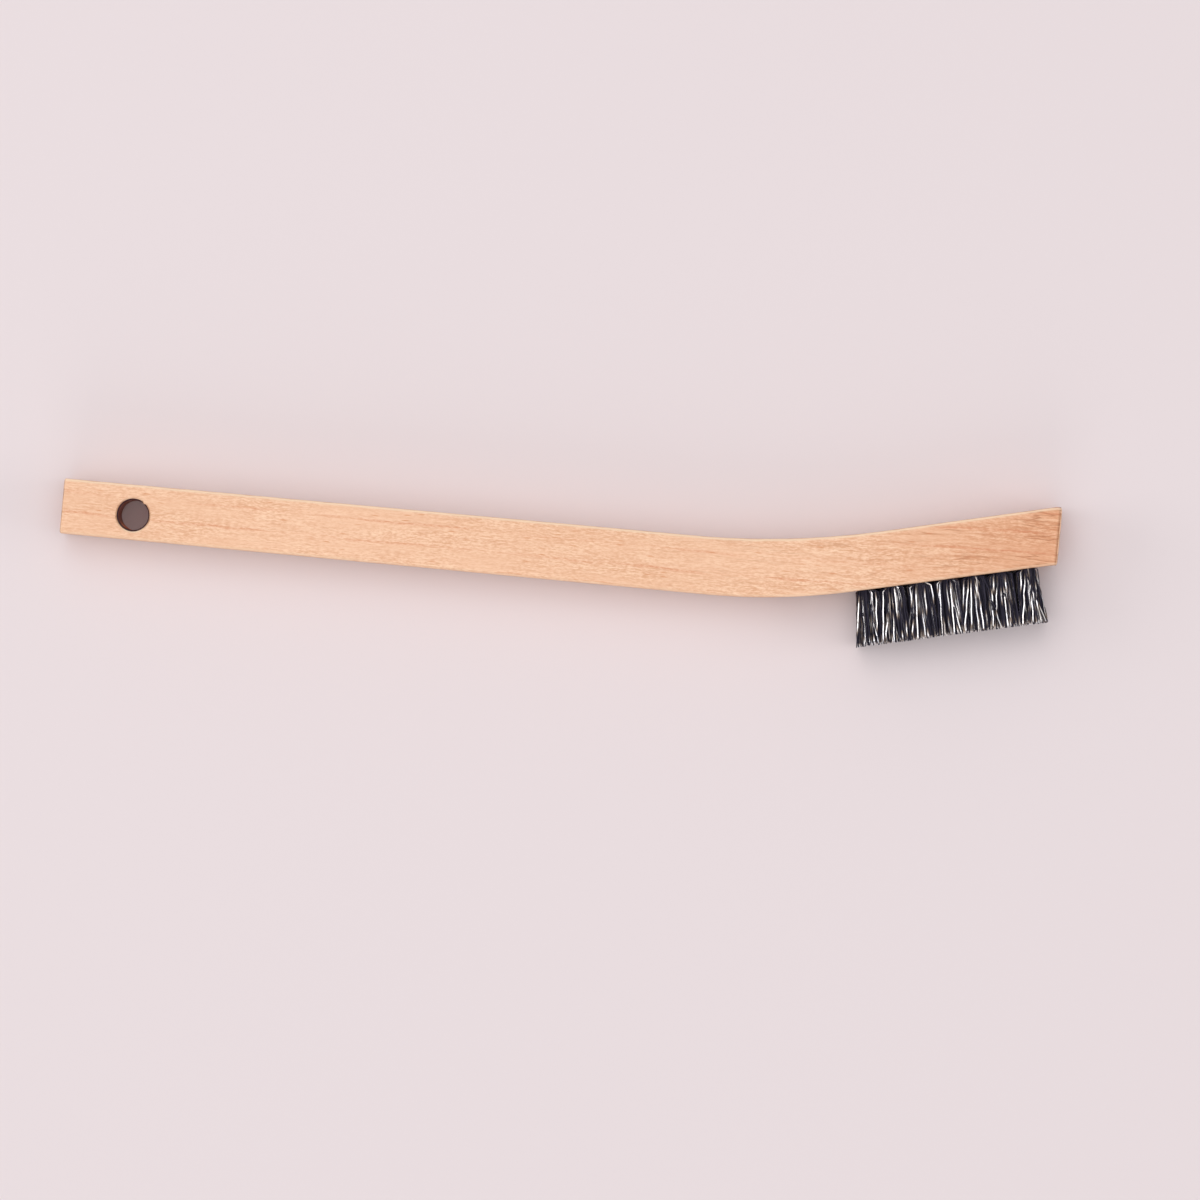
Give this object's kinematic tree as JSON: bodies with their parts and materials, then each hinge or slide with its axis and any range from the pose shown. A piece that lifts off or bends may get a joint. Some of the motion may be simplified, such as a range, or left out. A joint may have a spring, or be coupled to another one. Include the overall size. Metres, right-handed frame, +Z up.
{
  "type": "wire scratch brush",
  "caption": "Small hand brush for scratching off rust, paint and slag: a bent wooden stick with a hang hole, and tufts of crimped steel wire set in its head.",
  "frame": {"origin": "under the middle of the brush's bounding box, on the surface that it lies on", "axes": "the brush lies on its side: +X along the grip from the tail to the head, +Y to the back of the stick and away from the wires, +Z up, across the stick"},
  "size_m": [0.1968, 0.0314, 0.0127],
  "materials": {
    "beech": "bare, planed and tumbled",
    "tempered_wire": "drawn and tempered, dark with bright wires among them",
    "staple_wire": "bright drawn"
  },
  "bodies": {
    "root": {"handle": "beech", "tuft_1_1": "tempered_wire", "tuft_1_2": "tempered_wire", "tuft_1_3": "tempered_wire", "tuft_2_1": "tempered_wire", "tuft_2_2": "tempered_wire", "tuft_2_3": "tempered_wire", "tuft_3_1": "tempered_wire", "tuft_3_2": "tempered_wire", "tuft_3_3": "tempered_wire", "tuft_4_1": "tempered_wire", "tuft_4_2": "tempered_wire", "tuft_4_3": "tempered_wire", "tuft_5_1": "tempered_wire", "tuft_5_2": "tempered_wire", "tuft_5_3": "tempered_wire", "tuft_6_1": "tempered_wire", "tuft_6_2": "tempered_wire", "tuft_6_3": "tempered_wire", "tuft_7_1": "tempered_wire", "tuft_7_2": "tempered_wire", "tuft_7_3": "tempered_wire", "staple_1_1": "staple_wire", "staple_1_2": "staple_wire", "staple_1_3": "staple_wire", "staple_2_1": "staple_wire", "staple_2_2": "staple_wire", "staple_2_3": "staple_wire", "staple_3_1": "staple_wire", "staple_3_2": "staple_wire", "staple_3_3": "staple_wire", "staple_4_1": "staple_wire", "staple_4_2": "staple_wire", "staple_4_3": "staple_wire", "staple_5_1": "staple_wire", "staple_5_2": "staple_wire", "staple_5_3": "staple_wire", "staple_6_1": "staple_wire", "staple_6_2": "staple_wire", "staple_6_3": "staple_wire", "staple_7_1": "staple_wire", "staple_7_2": "staple_wire", "staple_7_3": "staple_wire"}
  },
  "joints": []
}
